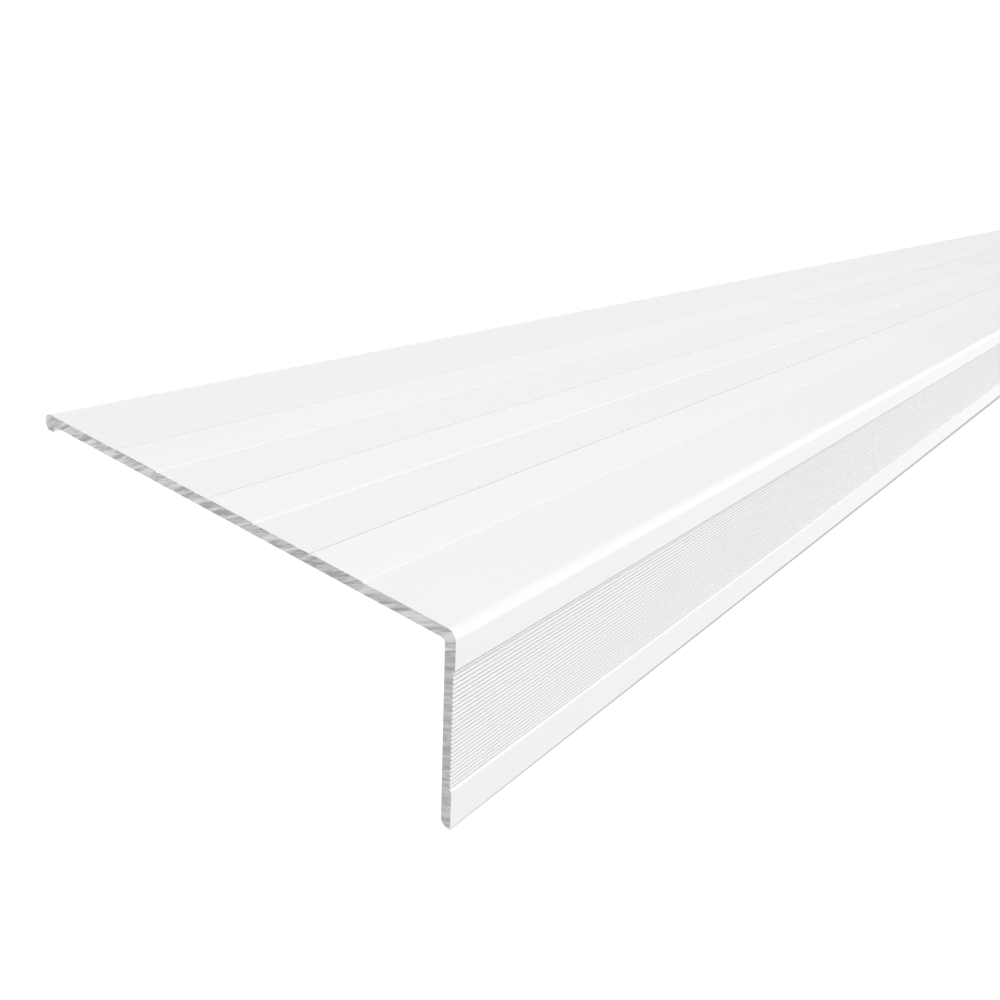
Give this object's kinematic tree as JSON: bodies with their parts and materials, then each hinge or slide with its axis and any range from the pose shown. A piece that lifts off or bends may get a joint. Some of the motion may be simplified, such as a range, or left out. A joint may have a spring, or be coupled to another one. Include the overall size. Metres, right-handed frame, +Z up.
{
  "type": "stair nosing",
  "caption": "L-shaped aluminium stair nosing in white, with raised pads and ribbed bands on its tread leg and a ribbed riser leg.",
  "frame": {"origin": "bottom centre of the bounding box, on the floor that the piece lies on", "axes": "+X along the length, -Y the way the riser leg faces, +Z up; the tread leg slopes down to +Y onto its rear lip"},
  "size_m": [1, 0.1106, 0.0375],
  "materials": {
    "white_coat": "satin white powder coat on extruded aluminium, ends sawn bare"
  },
  "bodies": {
    "root": {"nosing": "white_coat"}
  },
  "joints": []
}
